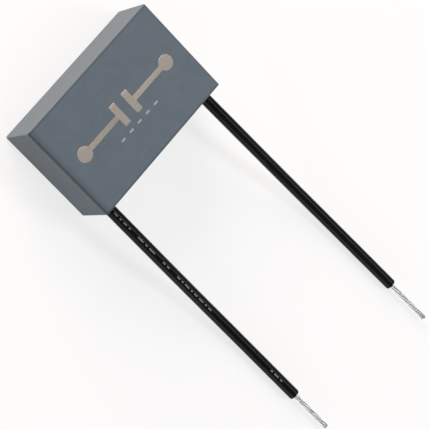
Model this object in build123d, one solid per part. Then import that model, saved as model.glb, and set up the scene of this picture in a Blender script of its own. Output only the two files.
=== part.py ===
from build123d import *
import math
import os

# Motor run capacitor: a metallised film winding, potted with resin in a moulded case,
# with a stranded lead soldered to each end of the winding.
# Millimetres. The case lies on its back: +Z points out of the marked face, and -Y out of
# the mouth, where the leads leave. The origin is on the back face, under its middle.

# Case, a cup moulded in one piece. Its sides lean in by the draft from the mouth to the closed
# end. The back lies flat, so the marked face leans by twice that.
case_length = 37.0
case_height = 23.0
case_thickness = 13.0
wall = 0.9
closed_end_wall = 1.1
draft_angle = 0.25
long_edge_radius = 0.6
closed_end_edge_radius = 0.25
mouth_edge_radius = 0.2
inner_edge_radius = 0.6
inner_end_radius = 0.5
mouth_bevel = 0.3

# Resin, poured in at the mouth. It climbs the walls by the meniscus, and the leads by a collar.
resin_recess = 0.9
meniscus_height = 0.45
meniscus_radius = 0.43
meniscus_land = 0.1
collar_height = 0.5
collar_foot = 0.55
collar_lip = 0.05

# Winding: two metallised films rolled without a core, then pressed flat
winding_clearance = 0.6
wrap_thickness = 0.2
core_slit = 0.3
spray_thickness = 0.45

# Stranded conductor of each lead, with its bare end twisted and tinned
strand_diameter = 0.32
strands_around = 6
tin_thickness = 0.02
strand_slack = 0.03
strand_lay = 22.0
left_bare_length = 11.2
right_bare_length = 12.1

# Insulation
insulation_diameter = 2.55
bore_clearance = 0.04
lead_wall_clearance = 0.575
lead_rise = 1.55
resin_grip = 3.1
strip_gap = 0.5

# Solder joint between a conductor and the end spray
solder_radius = 2.0
solder_cover = 0.25
solder_film = 0.1
conductor_reach = 7.5
solder_setback = 2.3
entry_bend_radius = 30.0

# The route of each lead outside the case, chosen by eye: how far it has drifted sideways,
# how far out from the mouth it is, and how high its underside is above the surface.
left_route = [(0.01, 11.0, 6.575), (1.5, 28.0, 1.925), (2.24, 46.0, 0.0), (2.35, 62.75, 0.0)]
right_route = [(0.64, 13.0, 6.525), (3.41, 31.5, 1.325), (4.67, 49.0, 0.0), (5.3, 65.1, 0.0)]

# A bend of a lead takes this share of the shorter run beside it.
bend_share = 0.45
# The twisted bare end is lofted through outlines turned by no more than this.
largest_twist_span = 80.0

# Worked out from the sizes above
mouth_y = -case_height / 2
closed_y = case_height / 2
draft = math.tan(math.radians(draft_angle))
cavity_end_y = closed_y - closed_end_wall
resin_y = mouth_y + resin_recess
resin_floor_y = resin_y + meniscus_height
winding_z = case_thickness / 2 - draft * case_height

strand_circle = strand_diameter / (2 * math.sin(math.pi / strands_around))
tinned_radius = strand_diameter / 2 + tin_thickness
bare_end_radius = strand_circle + tinned_radius
conductor_radius = bare_end_radius + strand_slack

lead_x = case_length / 2 - wall - lead_wall_clearance - insulation_diameter / 2
lead_z = winding_z + lead_rise
insulation_start_y = resin_y + resin_grip

spray_face = lead_x - conductor_radius - solder_film
film_edge = spray_face - spray_thickness
winding_near_y = insulation_start_y + strip_gap
winding_far_y = cavity_end_y - winding_clearance
winding_height = winding_far_y - winding_near_y
winding_y = (winding_near_y + winding_far_y) / 2
winding_thickness = 2 * (winding_z - wall - winding_clearance)
turns_height = winding_height - 2 * wrap_thickness
turns_thickness = winding_thickness - 2 * wrap_thickness
conductor_end_y = winding_near_y + conductor_reach
solder_y = conductor_end_y - solder_setback


def mouth_outline(inset, radius):
    """The rounded outline of the case at its mouth, moved in by inset."""
    place = Plane(origin=(0, mouth_y, case_thickness / 2), x_dir=(1, 0, 0), z_dir=(0, 1, 0))
    return place * RectangleRounded(case_length - 2 * inset, case_thickness - 2 * inset, radius)


def edges_at(shape, y, tolerance=0.001):
    """The edges of a flat face that lies across the case at y."""
    return shape.edges().filter_by_position(Axis.Y, y - tolerance, y + tolerance)


def lay_flat(shape):
    """Turns a moulded form by its draft about the mouth's back edge, so that the back lies flat."""
    return shape.rotate(Axis((0, mouth_y, 0), (1, 0, 0)), -draft_angle)


def cavity_form():
    """The space inside the case as the core of the mould leaves it, rounded at its closed end."""
    core = extrude(mouth_outline(wall, inner_edge_radius), cavity_end_y - mouth_y, taper=draft_angle)
    return fillet(edges_at(core, cavity_end_y), inner_end_radius)


def make_case():
    """The moulded cup: rounded long edges, a crisp closed end and a bevel inside the mouth."""
    cup = extrude(mouth_outline(0, long_edge_radius), case_height, taper=draft_angle)
    cup = fillet(edges_at(cup, closed_y), closed_end_edge_radius)
    cup = fillet(edges_at(cup, mouth_y), mouth_edge_radius)
    bevel_outline = mouth_outline(wall - mouth_bevel, inner_edge_radius + mouth_bevel)
    bevel = extrude(bevel_outline, mouth_bevel, taper=45)
    return lay_flat(cup - cavity_form() - bevel)


def lead_points(side, route):
    """The corners of a lead's route, from inside the resin to the end of its insulation."""
    points = [Vector(side * lead_x, insulation_start_y, lead_z)]
    for sideways, out, lift in route:
        points.append(Vector(side * lead_x + sideways, mouth_y - out, lift + insulation_diameter / 2))
    return points


def bend_radii(points):
    """At each corner, a share of the shorter run beside it over the tangent of half the turn."""
    radii = []
    for before, corner, after in zip(points, points[1:], points[2:]):
        shorter = min((corner - before).length, (after - corner).length)
        turn = math.radians((corner - before).get_angle(after - corner))
        radii.append(bend_share * shorter / math.tan(turn / 2))
    return radii


def round_bar(path, radius):
    """A round bar of one radius along a path."""
    return sweep((path ^ 0) * Circle(radius), path=path)


def make_insulation(points):
    """The plastic tube on a lead: straight runs joined by tangent arcs."""
    radii = bend_radii(points)
    path = FilletPolyline(*points, radius=radii)
    bore_radius = conductor_radius + bore_clearance
    outside = round_bar(path, insulation_diameter / 2)
    tube = outside - round_bar(path, bore_radius)
    section = math.pi * ((insulation_diameter / 2) ** 2 - bore_radius**2)
    print("insulation length", round(path.length, 2), "bend radii", [round(radius, 1) for radius in radii])
    print("  volume", round(tube.volume, 2), "section by length", round(section * path.length, 2))
    return tube, outside


def strand_outline():
    """The outline of the tinned bundle: one arc for each outer strand, meeting in the valleys."""
    half_step = math.pi / strands_around
    rise = math.sqrt(tinned_radius**2 - (strand_diameter / 2) ** 2)
    valley = strand_circle * math.cos(half_step) + rise
    arcs = []
    for strand in range(strands_around):
        middle = 2 * strand * half_step
        start = Vector(valley, 0).rotate(Axis.Z, math.degrees(middle - half_step))
        crest = Vector(bare_end_radius, 0).rotate(Axis.Z, math.degrees(middle))
        end = Vector(valley, 0).rotate(Axis.Z, math.degrees(middle + half_step))
        arcs.append(ThreePointArc(start, crest, end))
    return Face(Wire(arcs))


def make_bare_end(start, direction, length):
    """The twisted end of a lead: the outer strands wind round the bundle as helical ridges."""
    twist = 360 * length / strand_lay
    spans = math.ceil(twist / largest_twist_span)
    outlines = [
        Pos(0, 0, length * step / spans) * Rot(0, 0, twist * step / spans) * strand_outline()
        for step in range(spans + 1)
    ]
    return Plane(origin=start, z_dir=direction) * loft(outlines)


def make_conductor(side, points, bare_length):
    """A lead's copper: flat on the end spray, through the insulation, out at the bare end."""
    soldered_end = Vector(side * lead_x, conductor_end_y, lead_z)
    path = FilletPolyline(soldered_end, *points, radius=[entry_bend_radius] + bend_radii(points))
    bare_end = make_bare_end(points[-1], (points[-1] - points[-2]).normalized(), bare_length)
    print("conductor length", round(path.length + bare_length, 2))
    return round_bar(path, conductor_radius) + bare_end


def flat_roll(height, thickness, start_x, length):
    """A solid with the flattened outline of the winding, along X from start_x."""
    place = Plane(origin=(start_x, winding_y, winding_z), x_dir=(0, 1, 0), z_dir=(1, 0, 0))
    return extrude(place * SlotOverall(height, thickness), length)


def make_film_winding():
    """The film roll with its turns as one solid, and the closed slit where its core was."""
    turns = flat_roll(turns_height, turns_thickness, -film_edge, 2 * film_edge)
    return turns - flat_roll(turns_height - turns_thickness, core_slit, -film_edge, 2 * film_edge)


def make_outer_wrap():
    """The turns of plain film that close the winding."""
    wrapped = flat_roll(winding_height, winding_thickness, -film_edge, 2 * film_edge)
    return wrapped - flat_roll(turns_height, turns_thickness, -film_edge, 2 * film_edge)


def make_end_spray(side):
    """The layer of metal sprayed on one end of the winding."""
    start_x = film_edge if side > 0 else -spray_face
    return flat_roll(winding_height, winding_thickness, start_x, spray_thickness)


def make_solder_joint(side, conductor):
    """A low dome of solder over the conductor, on the end spray."""
    height = solder_film + 2 * conductor_radius + solder_cover
    ball_radius = (solder_radius**2 + height**2) / (2 * height)
    turn = 180 if side > 0 else 0
    middle = Pos(side * (spray_face + height - ball_radius), solder_y, lead_z)
    behind_face = Pos(0, solder_y, lead_z) * Box(2 * spray_face, 4 * ball_radius, 4 * ball_radius)
    return middle * Rot(0, 0, turn) * Sphere(ball_radius) - behind_face - conductor


def make_collar(points):
    """The resin that climbs a lead where it leaves: a ring with a hollow slope."""
    foot = insulation_diameter / 2 + collar_foot
    neck = insulation_diameter / 2 + collar_lip
    slope = RadiusArc((foot, collar_lip), (neck, collar_height), collar_height)
    top = Polyline((neck, collar_height), (0, collar_height), (0, -collar_height))
    bottom = Polyline((0, -collar_height), (foot, -collar_height), (foot, collar_lip))
    ring = Rot(90, 0, 0) * revolve(make_face(slope + top + bottom), Axis.Y)
    first_run = points[1] - points[0]
    at_floor = points[0] + first_run * ((resin_floor_y - points[0].Y) / first_run.Y)
    return Plane(origin=at_floor, x_dir=(0, 0, 1), z_dir=first_run.normalized()) * ring


def make_resin(leads, held):
    """The resin: it fills the case round all that it holds, and climbs the walls and leads."""
    cavity = lay_flat(cavity_form())
    empty_mouth = extrude(mouth_outline(0, long_edge_radius), resin_recess)
    fill = cavity - empty_mouth
    dish_outline = mouth_outline(wall + meniscus_land, inner_edge_radius - meniscus_land)
    dish = extrude(dish_outline, resin_floor_y - mouth_y)
    fill -= fillet(edges_at(dish, resin_floor_y), meniscus_radius)
    for points in leads:
        fill += make_collar(points) & cavity
    for piece in held:
        fill -= piece
    return fill


def main():
    os.makedirs("parts", exist_ok=True)
    parts = {"case": make_case()}
    parts["film_winding"] = make_film_winding()
    parts["outer_wrap"] = make_outer_wrap()
    leads = []
    held = [flat_roll(winding_height, winding_thickness, -film_edge, 2 * film_edge)]
    for name, side, route, bare_length in (
        ("left", -1, left_route, left_bare_length),
        ("right", 1, right_route, right_bare_length),
    ):
        points = lead_points(side, route)
        tube, outside = make_insulation(points)
        conductor = make_conductor(side, points, bare_length)
        solder = make_solder_joint(side, conductor)
        spray = make_end_spray(side)
        parts[f"{name}_end_spray"] = spray
        parts[f"{name}_solder_joint"] = solder
        parts[f"{name}_conductor"] = conductor
        parts[f"{name}_insulation"] = tube
        leads.append(points)
        held += [outside, conductor, solder, spray]
    parts["potting_resin"] = make_resin(leads, held)
    for node, shape in parts.items():
        export_step(shape, f"parts/{node}.step")
        print(node, "valid", shape.is_valid, "volume", round(shape.volume, 3))


main()
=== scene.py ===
import math

import bpy
import numpy as np
from mathutils import Matrix


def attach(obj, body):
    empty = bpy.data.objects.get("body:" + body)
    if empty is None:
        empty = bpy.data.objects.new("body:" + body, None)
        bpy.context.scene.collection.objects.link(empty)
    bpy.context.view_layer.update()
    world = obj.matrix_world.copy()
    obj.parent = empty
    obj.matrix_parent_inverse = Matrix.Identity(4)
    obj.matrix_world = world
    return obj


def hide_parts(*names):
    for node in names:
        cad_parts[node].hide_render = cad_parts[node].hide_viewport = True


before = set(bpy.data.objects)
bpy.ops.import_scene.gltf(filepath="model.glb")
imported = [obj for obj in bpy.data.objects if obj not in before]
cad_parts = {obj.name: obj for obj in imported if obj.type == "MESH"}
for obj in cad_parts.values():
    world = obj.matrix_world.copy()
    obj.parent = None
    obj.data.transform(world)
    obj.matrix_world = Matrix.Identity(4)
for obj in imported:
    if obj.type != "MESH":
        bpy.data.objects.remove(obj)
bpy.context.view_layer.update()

# Film winding: two metallised plastic films rolled without a core and pressed flat, closed with
# turns of plain film. Nothing of it shows through the resin, so the frame's own solids stay.


def new_material(name):
    """A new node material, its surface shader, and a function that adds a node with its settings."""
    material = bpy.data.materials.new(name)
    material.use_nodes = True
    tree = material.node_tree
    shader = tree.nodes["Principled BSDF"]

    def add(kind, inputs=(), **settings):
        node = tree.nodes.new(kind)
        for setting, value in settings.items():
            setattr(node, setting, value)
        for socket, value in dict(inputs).items():
            if isinstance(value, bpy.types.NodeSocket):
                tree.links.new(value, node.inputs[socket])
            else:
                node.inputs[socket].default_value = value
        return node

    return material, shader, add


def join(source, target):
    """Links one socket to another of the same material."""
    target.id_data.links.new(source, target)


def noise(add, place, scale, detail):
    """A soft noise between 0 and 1, whose grains measure one over the scale."""
    return add("ShaderNodeTexNoise", {"Vector": place, "Scale": scale, "Detail": detail}).outputs["Fac"]


def tones(add, pick, *stops):
    """A ramp of (place, colour) stops with a straight blend between them, read at the place to pick."""
    ramp = add("ShaderNodeValToRGB", {"Fac": pick})
    elements = ramp.color_ramp.elements
    for number, (place, colour) in enumerate(stops):
        element = elements[number] if number < 2 else elements.new(place)
        element.position = place
        element.color = (*colour, 1)
    return ramp.outputs["Color"]


def set_bump(add, shader, height, strength, distance):
    """Bends the surface's normals by a height, as if it stood out by the distance."""
    bump = add("ShaderNodeBump", {"Height": height, "Strength": strength, "Distance": distance})
    join(bump.outputs["Normal"], shader.inputs["Normal"])


def finish_node(node, material):
    """Gives one of the frame's own solids its finish."""
    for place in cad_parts[node].material_slots:
        place.material = material


def film_finish(name, colour, roughness, metallic, turn_depth):
    """Fine straight lines along the roll, where the edges of its turns lie, in the tone and the bump."""
    material, shader, add = new_material(name)
    place = add("ShaderNodeTexCoord").outputs["Object"]
    stretched = add("ShaderNodeMapping", {"Vector": place, "Scale": (40, 40, 9000)}).outputs["Vector"]
    turns = noise(add, stretched, 1.0, 3.0)
    darker = [0.8 * value for value in colour]
    join(tones(add, turns, (0, darker), (1, colour)), shader.inputs["Base Color"])
    set_bump(add, shader, turns, 0.5, turn_depth)
    shader.inputs["Roughness"].default_value = roughness
    shader.inputs["Metallic"].default_value = metallic
    return material


finish_node("film_winding", film_finish("metallised_film", (0.62, 0.63, 0.64), 0.28, 0.8, 0.00002))
finish_node("outer_wrap", film_finish("plain_film", (0.78, 0.78, 0.74), 0.2, 0.0, 0.00003))

# End sprays: zinc sprayed hot on both ends of the winding, where it joins every turn of one film.
# The grains freeze as they land, so the layer is matt and rough. The solder on it flowed smooth.


def spread(add, value, start, end, at_start, at_end, smooth=False):
    """Maps a value from start..end to at_start..at_end, and holds it at both ends."""
    limits = {"Value": value, "From Min": start, "From Max": end, "To Min": at_start, "To Max": at_end}
    kind = "SMOOTHSTEP" if smooth else "LINEAR"
    return add("ShaderNodeMapRange", limits, interpolation_type=kind).outputs["Result"]


def metal_finish(name, colour, roughness, grain, grain_depth):
    """Grey metal whose grain is a noise of one size, which moves its tone, its gloss and its bump."""
    material, shader, add = new_material(name)
    place = add("ShaderNodeTexCoord").outputs["Object"]
    grains = noise(add, place, 1 / grain, 4.0)
    darker = [0.7 * value for value in colour]
    join(tones(add, grains, (0, darker), (1, colour)), shader.inputs["Base Color"])
    join(spread(add, grains, 0, 1, roughness - 0.08, roughness + 0.1), shader.inputs["Roughness"])
    set_bump(add, shader, grains, 0.6, grain_depth)
    shader.inputs["Metallic"].default_value = 1.0
    return material


sprayed_zinc = metal_finish("sprayed_zinc", (0.5, 0.5, 0.49), 0.62, 0.00025, 0.00006)
smooth_solder = metal_finish("smooth_solder", (0.66, 0.66, 0.65), 0.3, 0.0012, 0.00004)
for side in ("left", "right"):
    finish_node(f"{side}_end_spray", sprayed_zinc)
    finish_node(f"{side}_solder_joint", smooth_solder)

# Insulation: a tube of soft black plastic drawn over the strands, so it is satin, with faint streaks
# along it. The far end is cut and pulled off with a stripping tool, which leaves a soft, uneven lip.
# The leads leave the resin straight, come down by their own weight and then lie on the surface.

insulation_radius = 0.001275
bore_radius = 0.00057
lip_radius = 0.00016
wave_height = 0.000004
wave_rates = ((410, 2), (1130, -1), (190, 3))
cut_slant = 0.00007
cut_tear = 0.00003
cut_nick = 0.000015
cut_depth = 0.0012
bore_start = 0.0004
ring_step = 0.0005
lead_routes = {
    "left": [
        (-0.01575, -0.0075, 0.00795),
        (-0.01574, -0.0225, 0.00785),
        (-0.01425, -0.0395, 0.0032),
        (-0.01351, -0.0575, 0.001275),
        (-0.0134, -0.07425, 0.001275),
    ],
    "right": [
        (0.01575, -0.0075, 0.00795),
        (0.01639, -0.0245, 0.0078),
        (0.01916, -0.043, 0.0026),
        (0.02042, -0.0605, 0.001275),
        (0.02105, -0.0766, 0.001275),
    ],
}


def smooth_route(points, spacing=0.0004):
    """Even points on the NURBS curve of order 3 that has the route's points as its control points."""
    data = bpy.data.curves.new("route", "CURVE")
    data.dimensions = "3D"
    spline = data.splines.new("NURBS")
    spline.points.add(len(points) - 1)
    spline.points.foreach_set("co", np.c_[points, np.ones(len(points))].ravel())
    spline.order_u = 3
    spline.use_endpoint_u = True
    spline.resolution_u = 64
    curve = bpy.data.objects.new("route", data)
    line = bpy.data.meshes.new_from_object(curve)
    found = np.empty(3 * len(line.vertices))
    line.vertices.foreach_get("co", found)
    bpy.data.objects.remove(curve)
    bpy.data.meshes.remove(line)
    found = found.reshape(-1, 3)
    along = np.r_[0, np.cumsum(np.linalg.norm(np.diff(found, axis=0), axis=1))]
    even = np.linspace(0, along[-1], int(along[-1] / spacing) + 2)
    return np.stack([np.interp(even, along, found[:, axis]) for axis in range(3)], axis=1)


def place_on_line(line, along, around, radius):
    """Puts points at a distance along a line, an angle around it and a radius from it.
    Past the line's ends they go straight on. Angle 0 is to the line's side, and a quarter turn is up."""
    steps = np.linalg.norm(np.diff(line, axis=0), axis=1)
    distance = np.r_[0, np.cumsum(steps)]
    forward = np.gradient(line, distance, axis=0)
    forward /= np.linalg.norm(forward, axis=1, keepdims=True)
    inside = np.clip(along, 0, distance[-1])
    middle = np.stack([np.interp(inside, distance, line[:, axis]) for axis in range(3)], axis=-1)
    ahead = np.stack([np.interp(inside, distance, forward[:, axis]) for axis in range(3)], axis=-1)
    middle = middle + ahead * (along - inside)[..., None]
    sideways = np.cross(ahead, (0, 0, 1))
    sideways /= np.linalg.norm(sideways, axis=-1, keepdims=True)
    upwards = np.cross(sideways, ahead)
    arm = np.cos(around)[..., None] * sideways + np.sin(around)[..., None] * upwards
    return middle + radius[..., None] * arm


def grid_faces(rows, columns, close_rows=False, close_columns=False, first=0):
    """The four corners of every cell of a grid of points, row by row, closed on itself where asked."""
    row = np.arange(rows if close_rows else rows - 1)[:, None]
    column = np.arange(columns if close_columns else columns - 1)[None, :]
    next_row, next_column = (row + 1) % rows, (column + 1) % columns
    corners = [row * columns + column, row * columns + next_column]
    corners += [next_row * columns + next_column, next_row * columns + column]
    return first + np.stack(np.broadcast_arrays(*corners), axis=-1).reshape(-1, 4)


def new_piece(name, points, faces, material, slot):
    """A smooth piece of the one body, with its material. The slot is not used."""
    mesh = bpy.data.meshes.new(name)
    mesh.from_pydata(points.reshape(-1, 3).tolist(), [], [list(map(int, face)) for face in faces])
    mesh.polygons.foreach_set("use_smooth", np.full(len(mesh.polygons), True))
    mesh.materials.append(material)
    piece = bpy.data.objects.new(name, mesh)
    bpy.context.scene.collection.objects.link(piece)
    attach(piece, "root")
    return piece


def add_places(piece, name, places):
    """Stores one vector for each point of a mesh, for its material to read."""
    store = piece.data.attributes.new(name, "FLOAT_VECTOR", "POINT")
    store.data.foreach_set("vector", np.ascontiguousarray(places, dtype=float).ravel())


def make_tube(line, columns=40):
    """One closed surface: out along the outside, round the lip, in over the cut face and back along the bore.
    The radius has three shallow sine waves on it, and the cut is a little oblique and ragged."""
    length = np.linalg.norm(np.diff(line, axis=0), axis=1).sum()
    outside = np.linspace(0, length - lip_radius, int(length / ring_step))
    turn = np.linspace(0, math.pi / 2, 6)[1:]
    lip = insulation_radius - lip_radius * (1 - np.cos(turn))
    face = np.linspace(insulation_radius - lip_radius, bore_radius, 5)[1:]
    bore = np.linspace(length - bore_start, 0, int(length / ring_step / 2))
    along = np.r_[outside, length - lip_radius + lip_radius * np.sin(turn), np.full(len(face), length), bore]
    radius = np.r_[np.full(len(outside), insulation_radius), lip, face, np.full(len(bore), bore_radius)]
    around = np.linspace(0, 2 * math.pi, columns, endpoint=False)
    along, around = np.meshgrid(along, around, indexing="ij")
    radius = np.broadcast_to(radius[:, None], along.shape)
    waves = sum(np.sin(rate * along + turns * around) for rate, turns in wave_rates)
    radius = radius - wave_height * (waves + len(wave_rates))
    ragged = cut_slant * np.cos(around - 0.7)
    ragged += cut_tear * np.sin(3 * around + 1) + cut_nick * np.sin(7 * around)
    near_end = np.clip(1 - (length - along) / cut_depth, 0, 1) ** 2
    along = along + ragged * near_end
    straight = np.stack([radius * np.cos(around), along, radius * np.sin(around)], axis=-1)
    faces = grid_faces(*along.shape, True, True)[:, ::-1]
    return place_on_line(line, along, around, radius), faces, straight


def insulation_finish():
    """Near black. The die's fine lines run along the straightened lead and move the gloss and the bump,
    and fine dust lifts the tone a little."""
    material, shader, add = new_material("black_insulation")
    place = add("ShaderNodeAttribute", attribute_name="straight").outputs["Vector"]
    drawn = add("ShaderNodeMapping", {"Vector": place, "Scale": (2600, 60, 2600)}).outputs["Vector"]
    streaks = noise(add, drawn, 1.0, 3.0)
    dust = noise(add, place, 2200.0, 5.0)
    tone = tones(add, dust, (0.35, (0.0035, 0.0035, 0.0036)), (0.8, (0.0075, 0.0075, 0.0077)))
    join(tone, shader.inputs["Base Color"])
    join(spread(add, streaks, 0, 1, 0.18, 0.28), shader.inputs["Roughness"])
    set_bump(add, shader, streaks, 0.15, 0.00002)
    shader.inputs["Specular IOR Level"].default_value = 0.12
    return material


black_insulation = insulation_finish()
lead_lines = {side: smooth_route(route) for side, route in lead_routes.items()}
insulation = {}
for side, line in lead_lines.items():
    points, faces, straight = make_tube(line)
    insulation[side] = new_piece(f"{side}_insulation_tube", points, faces, black_insulation, "insulation")
    add_places(insulation[side], "straight", straight)
    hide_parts(f"{side}_insulation")

# Conductor: seven strands of tinned copper, six of them wound round the middle one. The stripped end
# has been dipped in tin, which fills the valleys a little, and its tip was pinched and turned by hand.
# Painted shade greys the valleys between the strands, and the last millimetre and a half before the tip is
# darker.

strand_radius = 0.00016
tinned_radius = 0.000192
bundle_radius = 0.00033
strand_lay = 0.022
bare_lengths = {"left": 0.0112, "right": 0.0121}
reach_to_solder = 0.008
tip_turn = {"left": 0.10, "right": 0.13}
tip_phase = {"left": 0.37, "right": 0.93}
tip_stagger = 0.00016
tip_flare = 0.00002
flare_length = 0.003
tip_round = 0.8
tip_point = 0.000001
tin_start = 0.001
tin_wave = 0.02
tin_wave_rate = 1300
strand_wobble = 0.000008
wobble_rate = 600


def make_strands(line, side, columns=20):
    """Seven round strands. The outer six run on a circle round the line, and turn once in each lay.
    Near the tip they turn faster and stand a little further out, and each one ends by itself.
    The third result says how far each point faces outwards, and how far it is from the tip."""
    bare_length = bare_lengths[side]
    length = np.linalg.norm(np.diff(line, axis=0), axis=1).sum()
    tip = length + bare_length
    hidden = np.linspace(-reach_to_solder, length - tin_start, 70)
    bare = np.linspace(length - tin_start, tip - strand_radius, 120)[1:]
    along = np.r_[hidden, bare]
    points, faces, places, first = [], [], [], 0
    for strand in range(7):
        outer = 0.0 if strand == 6 else 1.0
        shift = tip_stagger * (math.sin(2.3 * strand + 0.4) - 1)
        body = np.where(along > length, length + (along - length) * (1 + shift / bare_length), along)
        near_tip = np.clip((body - tip) / flare_length + 1, 0, 1) ** 2
        bare_part = np.clip((body - length) / tin_start + 1, 0, 1)
        turns = body / strand_lay + tip_phase[side] + tip_turn[side] * near_tip
        around = 2 * math.pi * (strand / 6 + turns)
        loose = strand_wobble * np.sin(wobble_rate * body + 2 * strand)
        loose += tip_flare * near_tip * (1 + np.cos(5 * strand + 1.0))
        circle = 2 * strand_radius + bare_part * (bundle_radius - 2 * strand_radius + loose)
        middle = place_on_line(line, body, around, outer * circle)
        thick = strand_radius + (tinned_radius - strand_radius) * bare_part
        thick = thick * (1 + tin_wave * bare_part * np.sin(tin_wave_rate * body + 3 * strand))
        cap = np.linspace(0, math.pi / 2, 6)[1:]
        end = middle[-1] - middle[-2]
        end /= np.linalg.norm(end)
        middle = np.r_[middle, middle[-1] + tip_round * tinned_radius * np.sin(cap)[:, None] * end]
        thick = np.r_[thick, thick[-1] * np.cos(cap) + tip_point]
        angle = np.linspace(0, 2 * math.pi, columns, endpoint=False)
        forward = np.gradient(middle, axis=0)
        forward /= np.linalg.norm(forward, axis=1, keepdims=True)
        sideways = np.cross(forward, (0, 0, 1))
        sideways /= np.linalg.norm(sideways, axis=1, keepdims=True)
        upwards = np.cross(sideways, forward)
        arm = np.cos(angle)[:, None] * sideways[:, None] + np.sin(angle)[:, None] * upwards[:, None]
        points.append((middle[:, None] + thick[:, None, None] * arm).reshape(-1, 3))
        body = np.r_[body, np.full(len(cap), body[-1])]
        around = np.r_[around, np.full(len(cap), around[-1])]
        near, far = (place_on_line(line, body, around, np.full(len(body), away)) for away in (0.0, 1.0))
        facing = outer * (arm * (far - near)[:, None]).sum(axis=2)
        to_tip = np.broadcast_to((tip - body)[:, None], facing.shape)
        places.append(np.stack([facing, to_tip, 0 * facing], axis=-1).reshape(-1, 3))
        faces += grid_faces(len(middle), columns, False, True, first)[:, ::-1].tolist()
        faces.append(list(range(first, first + columns)))
        last = first + (len(middle) - 1) * columns
        faces.append(list(range(last + columns - 1, last - 1, -1)))
        first += len(middle) * columns
    return np.concatenate(points), faces, np.concatenate(places)


def math_node(add, operation, *values):
    """One sum, product or other step of arithmetic in a material."""
    return add("ShaderNodeMath", dict(enumerate(values)), operation=operation).outputs["Value"]


def mixed(add, share, colour, other):
    """A colour that turns into the other one as the share goes from 0 to 1."""
    return add("ShaderNodeMix", {0: share, 6: colour, 7: (*other, 1)}, data_type="RGBA").outputs[2]


def tinned_finish():
    """Bright tin with cloudy patches that are duller, and fine scratches from the twisting. Painted shade
    turns it grey where a strand faces its neighbours, and it is darker over the last millimetre and a half
    before the tip."""
    material, shader, add = new_material("tinned_strands")
    place = add("ShaderNodeTexCoord").outputs["Object"]
    clouds = noise(add, place, 900.0, 4.0)
    tone = tones(add, clouds, (0.3, (0.62, 0.62, 0.615)), (0.62, (0.86, 0.86, 0.85)))
    lie = add("ShaderNodeAttribute", attribute_name="strand_lie").outputs["Vector"]
    lie = add("ShaderNodeSeparateXYZ", {"Vector": lie}).outputs
    # Painted shade: where a strand faces its neighbours, its colour is mixed toward dark grey.
    valley = spread(add, lie["X"], 0.55, 0.88, 0.65, 0.0, smooth=True)
    # Darker towards the tip.
    cut = spread(add, lie["Y"], 0.0003, 0.0016, 0.5, 0.0, smooth=True)
    valley_shade_and_dark_tip = math_node(add, "MAXIMUM", valley, cut)
    join(mixed(add, valley_shade_and_dark_tip, tone, (0.13, 0.13, 0.128)), shader.inputs["Base Color"])
    join(spread(add, clouds, 0, 1, 0.4, 0.2), shader.inputs["Roughness"])
    set_bump(add, shader, noise(add, place, 5000.0, 2.0), 0.2, 0.00001)
    shader.inputs["Metallic"].default_value = 1.0
    return material


tinned_strands = tinned_finish()
strands = {}
for side, line in lead_lines.items():
    points, faces, strand_lie = make_strands(line, side)
    strands[side] = new_piece(f"{side}_strands", points, faces, tinned_strands, "tinned_copper")
    add_places(strands[side], "strand_lie", strand_lie)
    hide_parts(f"{side}_conductor")

# Marks on the left lead: pale ink rolled on when the wire was made, and worn thin in places since. They
# are plain dashes along the lead, in groups with gaps between.

mark_width = 0.00034
mark_turn = 1.38
ink_on_lead = 0.000008
mark_groups = {
    0.0058: (0.0011, 0.0006, 0.0011, 0.0006),
    0.0131: (0.0018, 0.0007, 0.0018),
    0.0212: (0.0008, 0.0008),
    0.0262: (0.0011, 0.0006, 0.0016, 0.0006, 0.0011, 0.0016, 0.0006, 0.0011),
    0.0586: (0.0007, 0.0014, 0.0007),
}
mark_gap = 0.00055
rim_points = 24


def make_lead_marks(line):
    """One closed patch of ink for each dash, bent round the tube: its rim is a rounded rectangle, the
    rows from its middle out scale that rim, and the last row goes down into the insulation."""
    angle = np.linspace(0, 2 * math.pi, rim_points, endpoint=False)
    scale = np.array([0.02, 0.5, 1.0, 1.0])[:, None]
    height = np.array([1.0, 1.0, 1.0, -1.0])[:, None] * ink_on_lead
    points, faces = [], []
    for start, dashes in mark_groups.items():
        near = start
        for dash in dashes:
            half = np.array([dash, mark_width]) / 2
            round_end = 0.4 * mark_width
            corner = (half - round_end) * np.sign(np.c_[np.cos(angle), np.sin(angle)])
            rim = corner + round_end * np.c_[np.cos(angle), np.sin(angle)]
            along = near + half[0] + scale * rim[:, 0]
            around = mark_turn - scale * rim[:, 1] / insulation_radius
            radius = np.broadcast_to(insulation_radius + height, along.shape)
            first = radius.size * len(points)
            last = first + radius.size
            points.append(place_on_line(line, along, around, radius).reshape(-1, 3))
            faces += grid_faces(len(scale), rim_points, False, True, first).tolist()
            faces.append(list(range(first + rim_points - 1, first - 1, -1)))
            faces.append(list(range(last - rim_points, last)))
            near += dash + mark_gap
    return np.concatenate(points), faces


def mark_finish():
    """Pale grey ink, broken up by a fine noise where it has worn through to the black."""
    material, shader, add = new_material("lead_ink")
    place = add("ShaderNodeTexCoord").outputs["Object"]
    tone = tones(add, noise(add, place, 9000.0, 3.0), (0.36, (0.08, 0.08, 0.08)), (0.56, (0.3, 0.3, 0.3)))
    join(tone, shader.inputs["Base Color"])
    shader.inputs["Roughness"].default_value = 0.6
    return material


points, faces = make_lead_marks(lead_lines["left"])
lead_marks = new_piece("left_lead_marks", points, faces, mark_finish(), "insulation")

# Case: a cup moulded from blue-grey plastic. Its sides lean in by a quarter of a degree so that it
# leaves the mould, its long edges are soft, and the resin's shrinking has drawn the flats in a little.

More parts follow.
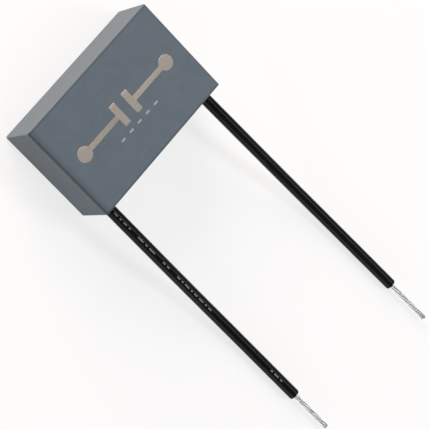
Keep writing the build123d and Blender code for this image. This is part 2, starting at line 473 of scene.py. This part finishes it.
case_length = 0.037
case_height = 0.023
case_thickness = 0.013
mouth_y = -0.0115
draft_angle = math.radians(0.25)
long_edge_radius = 0.0006
closed_edge_radius = 0.00025
mouth_edge_radius = 0.0002
wall = 0.0009
closed_end_wall = 0.0011
mouth_bevel = 0.0003
inner_edge_radius = 0.0006
inner_end_radius = 0.0005
sink = 0.00004
end_flat_start = 0.45
face_flat_start = 0.4
corner_points = 13
side_steps = (56, 24)
closed_end_scales = (0.03, 0.15, 0.3, 0.45, 0.6, 0.75, 0.88, 0.96)
shade_width = 0.0014
rim_band = (0.0003, 0.0006)


def rounded_ring(inset, radius):
    """A rounded rectangle moved in by inset: a quarter circle at each corner, and straight sides whose
    points come closer together near the corners."""
    reach = np.array([case_length / 2, case_thickness / 2]) - inset - radius
    corners = [(1, 1), (-1, 1), (-1, -1), (1, -1)]
    arcs = []
    for number, corner in enumerate(corners):
        angle = np.linspace(0, math.pi / 2, corner_points) + number * math.pi / 2
        arcs.append(reach * corner + radius * np.c_[np.cos(angle), np.sin(angle)])
    ring = []
    for number, arc in enumerate(arcs):
        share = (1 - np.cos(np.linspace(0, math.pi, side_steps[number % 2] + 1)[1:-1])) / 2
        ring += [arc, arc[-1] + share[:, None] * (arcs[(number + 1) % 4][0] - arc[-1])]
    return np.concatenate(ring)


def case_profile():
    """The section of the cup's wall, as rows of inset, corner radius, depth from the mouth and scale.
    It starts at the middle of the closed end, comes down the outside, round the mouth and up the inside."""
    slope = math.tan(draft_angle)
    quarter = np.linspace(0, math.pi / 2, 9)
    rows = []
    end_inset = slope * case_height
    for scale in closed_end_scales:
        rows.append((end_inset + closed_edge_radius, case_height, scale))
    for angle in quarter:
        inset = end_inset + closed_edge_radius * (1 - math.sin(angle))
        rows.append((inset, case_height - closed_edge_radius * (1 - math.cos(angle)), 1))
    share = (1 - np.cos(np.linspace(0, math.pi, 40)[1:])) / 2
    straight = case_height - closed_edge_radius - mouth_edge_radius
    for depth in case_height - closed_edge_radius - share * straight:
        rows.append((slope * depth, depth, 1))
    for angle in quarter[1:]:
        rows.append((mouth_edge_radius * (1 - math.cos(angle)), mouth_edge_radius * (1 - math.sin(angle)), 1))
    outside = [(inset, long_edge_radius - inset, depth, scale) for inset, depth, scale in rows]
    rim_inset = wall - mouth_bevel
    rows = [(rim_inset, inner_edge_radius + mouth_bevel, 0, 1), (wall, inner_edge_radius, mouth_bevel, 1)]
    end_depth = case_height - closed_end_wall
    for depth in np.linspace(mouth_bevel, end_depth - inner_end_radius, 12)[1:]:
        rows.append((wall + slope * depth, inner_edge_radius, depth, 1))
    for angle in quarter[1:-1]:
        inset = wall + slope * end_depth + inner_end_radius * (1 - math.cos(angle))
        corner = inner_edge_radius - inner_end_radius * (1 - math.cos(angle))
        rows.append((inset, corner, end_depth - inner_end_radius * (1 - math.sin(angle)), 1))
    inset = wall + slope * end_depth + inner_end_radius
    for scale in (1, 0.5, 0.03):
        rows.append((inset, inner_edge_radius - inner_end_radius, end_depth, scale))
    return outside + rows


def bow(place, size):
    """A parabola that is 1 in the middle of a size and falls to 0 at its two ends."""
    return np.clip(1 - (2 * place / size) ** 2, 0, 1)


def make_case():
    """The wall's section carried round the rounded rectangle, then turned by the draft so that the back
    lies flat. Each flat is drawn in by a parabola along and across it, as deep as the sink at its middle.
    The third result says how far each point is from the left edge's round, and from the other three rims."""
    slope = math.tan(draft_angle)
    profile = case_profile()
    depths = np.array([depth for inset, corner, depth, scale in profile])
    across = np.stack([rounded_ring(inset, corner) * scale for inset, corner, depth, scale in profile])
    x, z = across[..., 0], across[..., 1]
    y = np.broadcast_to(depths[:, None], x.shape)
    row = np.arange(len(depths))[:, None]
    outer = row < np.argmin(depths)
    end = row < len(closed_end_scales)
    middle = bow(y - case_height / 2, case_height)
    flat_x, flat_z = bow(x, case_length), bow(z, case_thickness)
    x = x - outer * np.sign(x) * sink * middle * flat_z * (np.abs(x) > end_flat_start * case_length)
    z = z - outer * np.sign(z) * sink * middle * flat_x * (np.abs(z) > face_flat_start * case_thickness)
    y = y - end * sink * flat_x * flat_z
    z = z + case_thickness / 2
    laid_y = mouth_y + y * math.cos(draft_angle) + z * math.sin(draft_angle)
    laid_z = z * math.cos(draft_angle) - y * math.sin(draft_angle)
    points = np.stack([x, laid_y, laid_z], axis=-1)
    rows, columns = x.shape
    faces = grid_faces(rows, columns, False, True).tolist()
    faces.append(list(range(columns - 1, -1, -1)))
    faces.append(list(range((rows - 1) * columns, rows * columns)))
    # These distances place bands of painted shade on the marked face, in the case's material.
    reach = case_length / 2 - slope * y
    left = np.clip(reach + x - long_edge_radius, 0, None)
    rim = np.minimum(np.minimum(case_height - y, y), reach - x)
    return points, faces, {"left_distance": left, "rim_distance": rim}


def case_finish():
    """Blue-grey plastic. The mould's fine eroded grain is on the flats and fades out on the long edges,
    which are smoother. Painted shade darkens the long edges and a thin line round the marked face, and
    along its left edge that painted shade fades out over more than a millimetre. A faint cloudiness in
    the tone comes from the filler, and fine dust gives a sheen where a flat is seen at a low angle."""
    material, shader, add = new_material("moulded_plastic")
    place = add("ShaderNodeTexCoord").outputs["Object"]
    clouds = add("ShaderNodeTexNoise", {"Vector": place, "Scale": 420.0, "Detail": 5.0, "Roughness": 0.6})
    clouds = clouds.outputs["Fac"]
    tone = tones(add, clouds, (0.3, (0.0965, 0.134, 0.166)), (0.7, (0.109, 0.151, 0.187)))
    normal = add("ShaderNodeNewGeometry").outputs["Normal"]
    normal = add("ShaderNodeSeparateXYZ", {"Vector": normal}).outputs
    upward = spread(add, normal["Z"], 0.6, 0.95, 0.0, 1.0)
    across = math_node(add, "ABSOLUTE", math_node(add, "MULTIPLY", normal["X"], normal["Z"]))
    edge = spread(add, across, 0.1, 0.45, 0.0, 1.0, smooth=True)
    # Painted shade on the middle of each rounded long edge.
    darker = math_node(add, "MULTIPLY", edge, 0.27)
    # Two more bands of painted shade on the marked face: one fades out over 1.4 mm from its left edge, and a
    # thin line runs along its other rims.
    for name, near, far, most in (("left_distance", 0, shade_width, 0.27), ("rim_distance", *rim_band, 0.4)):
        distance = add("ShaderNodeAttribute", attribute_name=name).outputs["Fac"]
        band = spread(add, distance, near, far, most, 0.0, smooth=True)
        darker = math_node(add, "MULTIPLY_ADD", band, upward, darker)
    # The painted shade mixes the tone toward a dark blue-grey.
    join(mixed(add, darker, tone, (0.022, 0.03, 0.038)), shader.inputs["Base Color"])
    depth = spread(add, edge, 0, 1, 0.45, 0.1)
    set_bump(add, shader, noise(add, place, 6500.0, 2.0), depth, 0.00002)
    shader.inputs["Roughness"].default_value = 0.55
    shader.inputs["Specular IOR Level"].default_value = 0.4
    shader.inputs["Sheen Weight"].default_value = 0.6
    shader.inputs["Sheen Roughness"].default_value = 0.4
    return material


points, faces, distances = make_case()
case_cup = new_piece("case_cup", points, faces, case_finish(), "case")
for name, distance in distances.items():
    store = case_cup.data.attributes.new(name, "FLOAT", "POINT")
    store.data.foreach_set("value", distance.ravel())
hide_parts("case")

# Print on the marked face: warm grey ink from a pad, in one pass. It is the plain drawing of this part
# in a circuit: a dot for each end, a wire from each dot, and two plates. Five dashes under it are paler.

ink_height = 0.000018
print_line_y = 0.0002
dot_x = 0.01295
dot_radius = 0.0017
wire_half = 0.0006
plate_inner = 0.0011
plate_outer = 0.0027
plate_half = 0.0027
plate_round = 0.00015
ink_rim = 0.06
ink_shoulder = 0.8
ink_foot = -0.2
small_mark_y = -0.0038
small_mark_start = -0.0057
small_mark_step = 0.0026
small_mark_length = 0.0012
small_mark_half = 0.0002


def on_marked_face(x, y, height):
    """Points at a height over the marked face, which leans by twice the draft and is drawn in a little."""
    depth = (y - mouth_y - case_thickness * math.sin(draft_angle)) / math.cos(draft_angle)
    sunk = sink * bow(depth - case_height / 2, case_height) * bow(x, case_length)
    lean = math.tan(draft_angle) + math.sin(draft_angle)
    flat = case_thickness * math.cos(draft_angle) - depth * lean - sunk
    return np.stack([x, y, flat + height], axis=-1)


def ink_strip(x, middle_y, half):
    """A raised patch of ink along x: its top, with a bevelled rim, its sides and its underside."""
    left, right = np.c_[x, middle_y + half], np.c_[x, middle_y - half]
    rim = ink_rim * (right - left)
    sides = (left, left, left + rim, right - rim, right, right)
    shares = (ink_foot, ink_shoulder, 1, 1, ink_shoulder, ink_foot)
    rows = [on_marked_face(*side.T, share * ink_height) for side, share in zip(sides, shares)]
    faces = grid_faces(6, len(x), True)[:, ::-1].tolist()
    faces.append([len(x) * row for row in range(5, -1, -1)])
    faces.append([len(x) * row + len(x) - 1 for row in range(6)])
    return np.stack(rows).reshape(-1, 3), faces


def join_strips(strips):
    """Several strips as one mesh."""
    points, faces, first = [], [], 0
    for rows, quads in strips:
        points.append(rows)
        faces += [[first + corner for corner in quad] for quad in quads]
        first += len(rows)
    return np.concatenate(points), faces


def make_print():
    """Half of the drawing is one strip, whose half width goes from the dot to the wire and the plate.
    No two places along it share an x, so the plate starts a very little after the wire ends."""
    turn = np.linspace(math.pi - 0.06, math.asin(wire_half / dot_radius), 40)
    corner = np.linspace(0, math.pi / 2, 6)
    dot = np.c_[-dot_x + dot_radius * np.cos(turn), dot_radius * np.sin(turn)]
    wire = np.array([[-plate_outer, wire_half]])
    far_side = np.c_[1.02 - np.cos(corner), np.sin(corner) - 1] * plate_round + (-plate_outer, plate_half)
    near_side = np.c_[np.sin(corner) - 1, np.cos(corner) - 1] * plate_round + (-plate_inner, plate_half)
    x, half = np.concatenate([dot, wire, far_side, near_side]).T
    return join_strips([ink_strip(x, print_line_y, half), ink_strip(-x[::-1], print_line_y, half[::-1])])


def make_small_marks():
    """Five short dashes, spaced evenly under the drawing."""
    half = np.array([0.8, 1, 1, 1, 0.8]) * small_mark_half
    x = small_mark_start + np.linspace(0, small_mark_length, 5)
    return join_strips([ink_strip(x + small_mark_step * number, small_mark_y, half) for number in range(5)])


def ink_finish(name, colour, scale):
    """Matt ink, with pinholes and thin places where the plastic shows through, and a faint orange peel."""
    material, shader, add = new_material(name)
    place = add("ShaderNodeTexCoord").outputs["Object"]
    thin = noise(add, place, scale, 5.0)
    darker = [0.95 * value for value in colour]
    tone = tones(add, thin, (0.26, (0.14, 0.165, 0.185)), (0.4, darker), (0.7, colour))
    join(tone, shader.inputs["Base Color"])
    set_bump(add, shader, thin, 0.3, 0.00001)
    shader.inputs["Roughness"].default_value = 0.7
    shader.inputs["Specular IOR Level"].default_value = 0.3
    return material


warm_ink = ink_finish("warm_ink", (0.378, 0.358, 0.32), 3200.0)
pale_ink = ink_finish("pale_ink", (0.4, 0.41, 0.45), 6000.0)
new_piece("circuit_print", *make_print(), warm_ink, "case")
new_piece("small_print_marks", *make_small_marks(), pale_ink, "case")

# Resin: two parts mixed, poured in at the mouth round the winding and the leads, and set hard. It is
# dark and glossy, climbs the walls and the leads a little, and has fine ripples and pinholes.


def resin_finish():
    """Nearly black and glossy, with a slow ripple and small pits where bubbles have opened."""
    material, shader, add = new_material("potting_resin")
    place = add("ShaderNodeTexCoord").outputs["Object"]
    ripple = noise(add, place, 350.0, 2.0)
    tone = tones(add, ripple, (0, (0.03, 0.033, 0.036)), (1, (0.05, 0.053, 0.057)))
    join(tone, shader.inputs["Base Color"])
    cells = add("ShaderNodeTexVoronoi", {"Vector": place, "Scale": 650.0}).outputs["Distance"]
    pits = spread(add, cells, 0.06, 0.16, 0.0, 1.0)
    set_bump(add, shader, math_node(add, "ADD", ripple, pits), 0.4, 0.00006)
    shader.inputs["Roughness"].default_value = 0.22
    return material


finish_node("potting_resin", resin_finish())

# Surface that the part lies on, white and matt to look at, and grey in what light it gives back. The
# studio has a large warm lamp low beyond the closed end, and a narrow soft box on each side, which draws
# a long highlight along both leads.

floor_reach = 2.0
floor_drop = 0.00003
floor_white = 0.74
corners = np.array([(-1, -1, 0), (1, -1, 0), (1, 1, 0), (-1, 1, 0)]) * floor_reach - (0, 0, floor_drop)
mesh = bpy.data.meshes.new("floor")
mesh.from_pydata(corners.tolist(), [], [(0, 1, 2, 3)])
floor = bpy.data.objects.new("floor", mesh)
bpy.context.scene.collection.objects.link(floor)
material, shader, add = new_material("white_floor")
shader.inputs["Base Color"].default_value = (0.28, 0.28, 0.28, 1)
shader.inputs["Roughness"].default_value = 1.0
shader.inputs["Specular IOR Level"].default_value = 0.0
rays = add("ShaderNodeLightPath").outputs
seen = math_node(add, "MAXIMUM", rays["Is Camera Ray"], rays["Is Glossy Ray"])
seen = math_node(add, "MAXIMUM", seen, rays["Is Transmission Ray"])
shader.inputs["Emission Color"].default_value = (1, 1, 1, 1)
join(math_node(add, "MULTIPLY", seen, floor_white), shader.inputs["Emission Strength"])
mesh.materials.append(material)

world = bpy.data.worlds.new("studio")
bpy.context.scene.world = world
world.use_nodes = True
background = world.node_tree.nodes["Background"].inputs
background["Color"].default_value = (0.93, 0.95, 1.0, 1)
background["Strength"].default_value = 0.3


def soft_lamp(name, place, along, length, width, level, colour):
    """A rectangular lamp aimed at the part, its long side as near to a direction as that allows.
    Level 1 lights a face turned to it as bright as its colour says."""
    distance = np.linalg.norm(place)
    data = bpy.data.lights.new(name, "AREA")
    data.shape = "RECTANGLE"
    data.size = length
    data.size_y = width
    data.energy = level * (math.pi * distance) ** 2
    data.color = colour
    lamp = bpy.data.objects.new(name, data)
    towards = np.array(place) / distance
    long_side = along - np.dot(along, towards) * towards
    long_side /= np.linalg.norm(long_side)
    turn = np.eye(4)
    turn[:3, 0], turn[:3, 1], turn[:3, 2] = long_side, np.cross(towards, long_side), towards
    turn[:3, 3] = place
    lamp.matrix_world = Matrix(turn.tolist())
    bpy.context.scene.collection.objects.link(lamp)


soft_lamp("key_lamp", (0.319, 0.798, 0.266), (-0.9, 0.36, 0), 0.6, 0.5, 1.54, (1.0, 0.83, 0.73))
soft_lamp("right_box", (0.42, -0.38, 0.72), (0, -0.85, -0.5), 0.85, 0.2, 0.31, (1.0, 1.0, 1.0))
soft_lamp("left_box", (-0.78, -0.40, 0.22), (0.41, -0.85, -0.33), 0.75, 0.16, 0.2, (1.0, 1.0, 1.0))

# Camera: looks down on the marked face from beyond the closed end and the left end, and is turned so
# that the leads run down to the right.

camera_place = (-0.108343, 0.081571, 0.309118)
camera_right = (0.60307, -0.65212, 0.45940)
camera_up = (0.73126, 0.68205, 0.00821)
data = bpy.data.cameras.new("camera")
data.lens = 136.30
data.sensor_width = 36.0
data.clip_start = 0.01
data.clip_end = 10
camera = bpy.data.objects.new("camera", data)
turn = np.eye(4)
turn[:3, 0] = camera_right
turn[:3, 1] = camera_up
turn[:3, 2] = np.cross(camera_right, camera_up)
turn[:3, 3] = camera_place
camera.matrix_world = Matrix(turn.tolist())
bpy.context.scene.collection.objects.link(camera)
bpy.context.scene.camera = camera
bpy.context.scene.view_settings.view_transform = "Standard"
